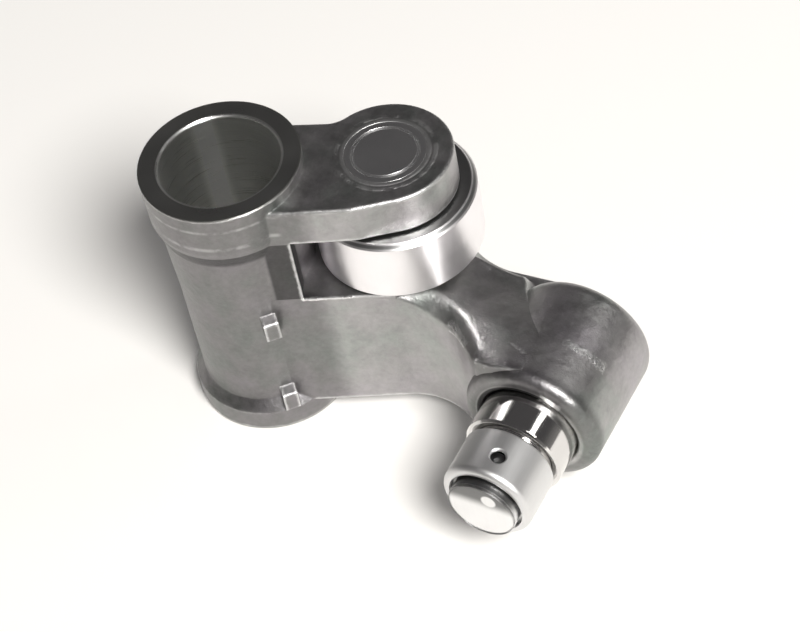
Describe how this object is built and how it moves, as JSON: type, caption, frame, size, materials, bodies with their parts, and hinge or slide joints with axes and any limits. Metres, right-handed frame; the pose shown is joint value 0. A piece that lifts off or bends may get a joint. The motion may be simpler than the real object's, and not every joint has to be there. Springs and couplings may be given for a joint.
{
  "type": "rocker arm",
  "caption": "Shaft-mounted roller rocker arm with a lash adjuster and a swivel foot at its far end.",
  "frame": {"origin": "on the shaft bore's axis, at the lower collar's end face", "axes": "+Z along the shaft bore, +X from the shaft towards the adjuster, -Y the way the adjuster's foot points"},
  "size_m": [0.0713, 0.0447, 0.047],
  "materials": {
    "cast_aluminium": "die cast and tumbled, satin",
    "plug_steel": "smooth",
    "pin_steel": "ground, staked at the end",
    "roller_steel": "ground and polished",
    "needle_steel": "ground and polished",
    "inner_steel": "ground",
    "sleeve_chrome": "polished",
    "spring_steel": "drawn wire",
    "cap_steel": "pressed sheet, matte",
    "foot_steel": "ground face"
  },
  "bodies": {
    "arm": {"rocker_body": "cast_aluminium", "oil_plug": "plug_steel", "roller_pin": "pin_steel", "lash_plunger": "inner_steel", "valve_cage": "inner_steel", "plunger_spring": "spring_steel", "check_spring": "spring_steel"},
    "roller": {"roller": "roller_steel"},
    "needles": {"needle_01": "needle_steel", "needle_02": "needle_steel", "needle_03": "needle_steel", "needle_04": "needle_steel", "needle_05": "needle_steel", "needle_06": "needle_steel", "needle_07": "needle_steel", "needle_08": "needle_steel", "needle_09": "needle_steel", "needle_10": "needle_steel", "needle_11": "needle_steel", "needle_12": "needle_steel", "needle_13": "needle_steel", "needle_14": "needle_steel", "needle_15": "needle_steel", "needle_16": "needle_steel", "needle_17": "needle_steel"},
    "adjuster_sleeve": {"lash_sleeve": "sleeve_chrome", "plunger_clip": "spring_steel"},
    "foot_cap": {"foot_retainer": "cap_steel"},
    "foot": {"swivel_foot": "foot_steel"},
    "valve_ball": {"check_ball": "inner_steel"}
  },
  "joints": [
    {"name": "roller_spin", "type": "hinge", "parent": "arm", "child": "roller", "pos_m": [0.02105, 0.0112, 0.0327], "axis": [0, 0, 1], "continuous": true},
    {"name": "needle_orbit", "type": "hinge", "parent": "arm", "child": "needles", "pos_m": [0.02105, 0.0112, 0.0327], "axis": [0, 0, 1], "continuous": true},
    {"name": "adjuster_slide", "type": "slide", "parent": "arm", "child": "adjuster_sleeve", "axis": [0, 1, 0], "range_m": [0, 0.0025], "stiffness_N_per_m": 4000, "springref_m": -0.003, "deforming": ["plunger_spring"]},
    {"name": "cap_turn", "type": "hinge", "parent": "adjuster_sleeve", "child": "foot_cap", "pos_m": [0.0485, -0.013, 0.014], "axis": [0, -1, 0], "continuous": true},
    {"name": "foot_tilt", "type": "hinge", "parent": "foot_cap", "child": "foot", "pos_m": [0.0485, -0.013, 0.014], "axis": [1, 0, 0], "range_deg": [-3.5, 3.5]},
    {"name": "valve_lift", "type": "slide", "parent": "arm", "child": "valve_ball", "axis": [0, -1, 0], "range_m": [0, 0.0004], "stiffness_N_per_m": 50, "springref_m": -0.001, "deforming": ["check_spring"]}
  ],
  "couplings": [
    {"joint": "needle_orbit", "follows": "roller_spin", "ratio": 0.5905}
  ]
}
